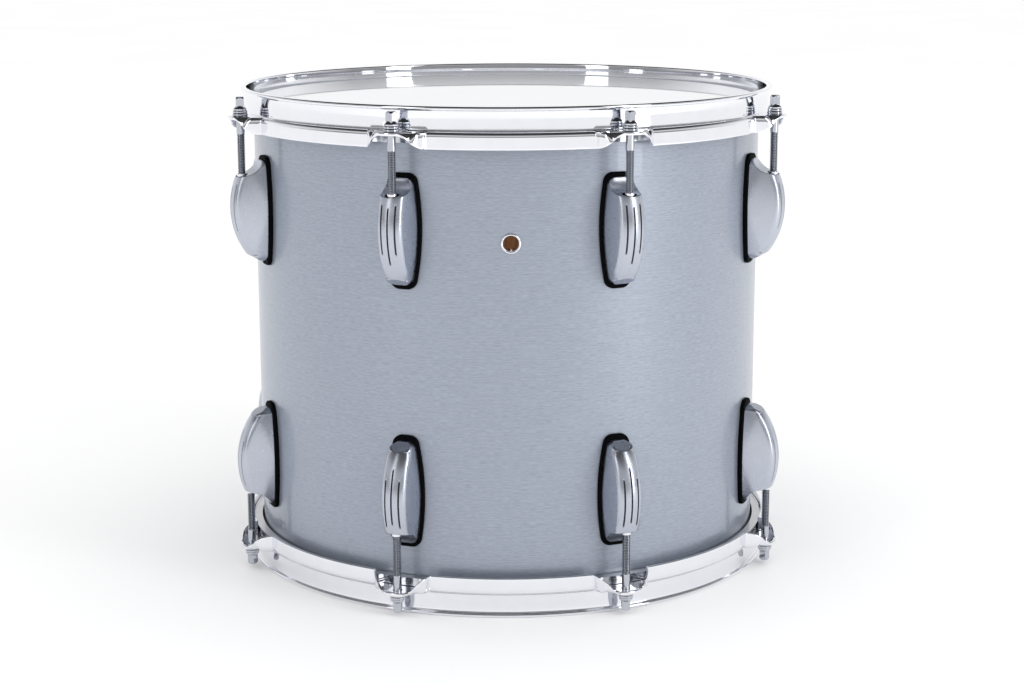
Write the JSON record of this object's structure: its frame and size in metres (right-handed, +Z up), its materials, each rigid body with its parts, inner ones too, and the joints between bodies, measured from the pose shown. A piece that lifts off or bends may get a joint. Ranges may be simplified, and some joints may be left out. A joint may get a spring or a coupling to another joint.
{
  "type": "concert tom drum",
  "caption": "Cylindrical double-headed drum: brushed silver shell, bright flanged hoops, cast single-ended lugs and square-headed key rods that draw each hoop down over its head.",
  "frame": {"origin": "centre of the circle on which the bottom rim stands, on the drum's axis", "axes": "+Z up along the drum's axis, -Y towards the front, where the vent is, +X to the right as seen from the front"},
  "size_m": [0.376, 0.376, 0.331],
  "materials": {
    "ply": "cross-laminated ply, clear sealed inside and at the edges",
    "wrap": "brushed silver film under a clear gloss face, grain running round the drum",
    "chrome": "bright chrome plate on steel",
    "satin_casting": "satin chrome plate on a zinc die casting",
    "nickel": "bright nickel plate",
    "film": "smooth white polyester, gloss",
    "flesh_aluminium": "plain rolled aluminium channel",
    "resin": "cast epoxy",
    "gasket_rubber": "moulded black rubber, half matt",
    "clip_plastic": "moulded black nylon",
    "zinc_steel": "bright zinc plate"
  },
  "bodies": {
    "drum_shell": {"shell": "ply", "shell_wrap": "wrap", "vent_grommet": "chrome", "top_lug_gaskets": "gasket_rubber", "top_swivel_nuts": "nickel", "top_nut_clips": "clip_plastic", "top_lug_screws": "zinc_steel", "top_lug_screw_washers": "zinc_steel", "top_lug_1": "satin_casting", "top_lug_2": "satin_casting", "top_lug_3": "satin_casting", "top_lug_4": "satin_casting", "top_lug_5": "satin_casting", "top_lug_6": "satin_casting", "top_lug_7": "satin_casting", "top_lug_8": "satin_casting", "bottom_lug_gaskets": "gasket_rubber", "bottom_swivel_nuts": "nickel", "bottom_nut_clips": "clip_plastic", "bottom_lug_screws": "zinc_steel", "bottom_lug_screw_washers": "zinc_steel", "bottom_lug_1": "satin_casting", "bottom_lug_2": "satin_casting", "bottom_lug_3": "satin_casting", "bottom_lug_4": "satin_casting", "bottom_lug_5": "satin_casting", "bottom_lug_6": "satin_casting", "bottom_lug_7": "satin_casting", "bottom_lug_8": "satin_casting"},
    "top_hoop": {"top_counter_hoop": "chrome", "top_rod_washers": "chrome"},
    "top_head": {"top_film": "film", "top_flesh_hoop": "flesh_aluminium", "top_head_resin": "resin"},
    "top_rod_1": {"top_rod_1": "chrome"},
    "top_rod_2": {"top_rod_2": "chrome"},
    "top_rod_3": {"top_rod_3": "chrome"},
    "top_rod_4": {"top_rod_4": "chrome"},
    "top_rod_5": {"top_rod_5": "chrome"},
    "top_rod_6": {"top_rod_6": "chrome"},
    "top_rod_7": {"top_rod_7": "chrome"},
    "top_rod_8": {"top_rod_8": "chrome"},
    "bottom_hoop": {"bottom_counter_hoop": "chrome", "bottom_rod_washers": "chrome"},
    "bottom_head": {"bottom_film": "film", "bottom_flesh_hoop": "flesh_aluminium", "bottom_head_resin": "resin"},
    "bottom_rod_1": {"bottom_rod_1": "chrome"},
    "bottom_rod_2": {"bottom_rod_2": "chrome"},
    "bottom_rod_3": {"bottom_rod_3": "chrome"},
    "bottom_rod_4": {"bottom_rod_4": "chrome"},
    "bottom_rod_5": {"bottom_rod_5": "chrome"},
    "bottom_rod_6": {"bottom_rod_6": "chrome"},
    "bottom_rod_7": {"bottom_rod_7": "chrome"},
    "bottom_rod_8": {"bottom_rod_8": "chrome"}
  },
  "joints": [
    {"name": "top_hoop_lift", "type": "slide", "parent": "drum_shell", "child": "top_hoop", "axis": [0, 0, 1], "range_m": [0, 0.016]},
    {"name": "top_head_lift", "type": "slide", "parent": "drum_shell", "child": "top_head", "axis": [0, 0, 1], "range_m": [0, 0.008]},
    {"name": "top_rod_1_turn", "type": "hinge", "parent": "top_hoop", "child": "top_rod_1", "pos_m": [0.07424, -0.17923, 0.318], "axis": [0, 0, 1], "range_deg": [0, 5444]},
    {"name": "top_rod_2_turn", "type": "hinge", "parent": "top_hoop", "child": "top_rod_2", "pos_m": [0.17923, -0.07424, 0.318], "axis": [0, 0, 1], "range_deg": [0, 5444]},
    {"name": "top_rod_3_turn", "type": "hinge", "parent": "top_hoop", "child": "top_rod_3", "pos_m": [0.17923, 0.07424, 0.318], "axis": [0, 0, 1], "range_deg": [0, 5444]},
    {"name": "top_rod_4_turn", "type": "hinge", "parent": "top_hoop", "child": "top_rod_4", "pos_m": [0.07424, 0.17923, 0.318], "axis": [0, 0, 1], "range_deg": [0, 5444]},
    {"name": "top_rod_5_turn", "type": "hinge", "parent": "top_hoop", "child": "top_rod_5", "pos_m": [-0.07424, 0.17923, 0.318], "axis": [0, 0, 1], "range_deg": [0, 5444]},
    {"name": "top_rod_6_turn", "type": "hinge", "parent": "top_hoop", "child": "top_rod_6", "pos_m": [-0.17923, 0.07424, 0.318], "axis": [0, 0, 1], "range_deg": [0, 5444]},
    {"name": "top_rod_7_turn", "type": "hinge", "parent": "top_hoop", "child": "top_rod_7", "pos_m": [-0.17923, -0.07424, 0.318], "axis": [0, 0, 1], "range_deg": [0, 5444]},
    {"name": "top_rod_8_turn", "type": "hinge", "parent": "top_hoop", "child": "top_rod_8", "pos_m": [-0.07424, -0.17923, 0.318], "axis": [0, 0, 1], "range_deg": [0, 5444]},
    {"name": "bottom_hoop_lift", "type": "slide", "parent": "drum_shell", "child": "bottom_hoop", "axis": [0, 0, -1], "range_m": [0, 0.016]},
    {"name": "bottom_head_lift", "type": "slide", "parent": "drum_shell", "child": "bottom_head", "axis": [0, 0, -1], "range_m": [0, 0.008]},
    {"name": "bottom_rod_1_turn", "type": "hinge", "parent": "bottom_hoop", "child": "bottom_rod_1", "pos_m": [0.07424, -0.17923, 0.013], "axis": [0, 0, -1], "range_deg": [0, 5444]},
    {"name": "bottom_rod_2_turn", "type": "hinge", "parent": "bottom_hoop", "child": "bottom_rod_2", "pos_m": [0.17923, -0.07424, 0.013], "axis": [0, 0, -1], "range_deg": [0, 5444]},
    {"name": "bottom_rod_3_turn", "type": "hinge", "parent": "bottom_hoop", "child": "bottom_rod_3", "pos_m": [0.17923, 0.07424, 0.013], "axis": [0, 0, -1], "range_deg": [0, 5444]},
    {"name": "bottom_rod_4_turn", "type": "hinge", "parent": "bottom_hoop", "child": "bottom_rod_4", "pos_m": [0.07424, 0.17923, 0.013], "axis": [0, 0, -1], "range_deg": [0, 5444]},
    {"name": "bottom_rod_5_turn", "type": "hinge", "parent": "bottom_hoop", "child": "bottom_rod_5", "pos_m": [-0.07424, 0.17923, 0.013], "axis": [0, 0, -1], "range_deg": [0, 5444]},
    {"name": "bottom_rod_6_turn", "type": "hinge", "parent": "bottom_hoop", "child": "bottom_rod_6", "pos_m": [-0.17923, 0.07424, 0.013], "axis": [0, 0, -1], "range_deg": [0, 5444]},
    {"name": "bottom_rod_7_turn", "type": "hinge", "parent": "bottom_hoop", "child": "bottom_rod_7", "pos_m": [-0.17923, -0.07424, 0.013], "axis": [0, 0, -1], "range_deg": [0, 5444]},
    {"name": "bottom_rod_8_turn", "type": "hinge", "parent": "bottom_hoop", "child": "bottom_rod_8", "pos_m": [-0.07424, -0.17923, 0.013], "axis": [0, 0, -1], "range_deg": [0, 5444]}
  ],
  "couplings": [
    {"joint": "top_head_lift", "follows": "top_hoop_lift", "ratio": 0.5},
    {"joint": "top_rod_1_turn", "follows": "top_hoop_lift", "rad_per_m": 5936.9},
    {"joint": "top_rod_2_turn", "follows": "top_hoop_lift", "rad_per_m": 5936.9},
    {"joint": "top_rod_3_turn", "follows": "top_hoop_lift", "rad_per_m": 5936.9},
    {"joint": "top_rod_4_turn", "follows": "top_hoop_lift", "rad_per_m": 5936.9},
    {"joint": "top_rod_5_turn", "follows": "top_hoop_lift", "rad_per_m": 5936.9},
    {"joint": "top_rod_6_turn", "follows": "top_hoop_lift", "rad_per_m": 5936.9},
    {"joint": "top_rod_7_turn", "follows": "top_hoop_lift", "rad_per_m": 5936.9},
    {"joint": "top_rod_8_turn", "follows": "top_hoop_lift", "rad_per_m": 5936.9},
    {"joint": "bottom_head_lift", "follows": "bottom_hoop_lift", "ratio": 0.5},
    {"joint": "bottom_rod_1_turn", "follows": "bottom_hoop_lift", "rad_per_m": 5936.9},
    {"joint": "bottom_rod_2_turn", "follows": "bottom_hoop_lift", "rad_per_m": 5936.9},
    {"joint": "bottom_rod_3_turn", "follows": "bottom_hoop_lift", "rad_per_m": 5936.9},
    {"joint": "bottom_rod_4_turn", "follows": "bottom_hoop_lift", "rad_per_m": 5936.9},
    {"joint": "bottom_rod_5_turn", "follows": "bottom_hoop_lift", "rad_per_m": 5936.9},
    {"joint": "bottom_rod_6_turn", "follows": "bottom_hoop_lift", "rad_per_m": 5936.9},
    {"joint": "bottom_rod_7_turn", "follows": "bottom_hoop_lift", "rad_per_m": 5936.9},
    {"joint": "bottom_rod_8_turn", "follows": "bottom_hoop_lift", "rad_per_m": 5936.9}
  ]
}
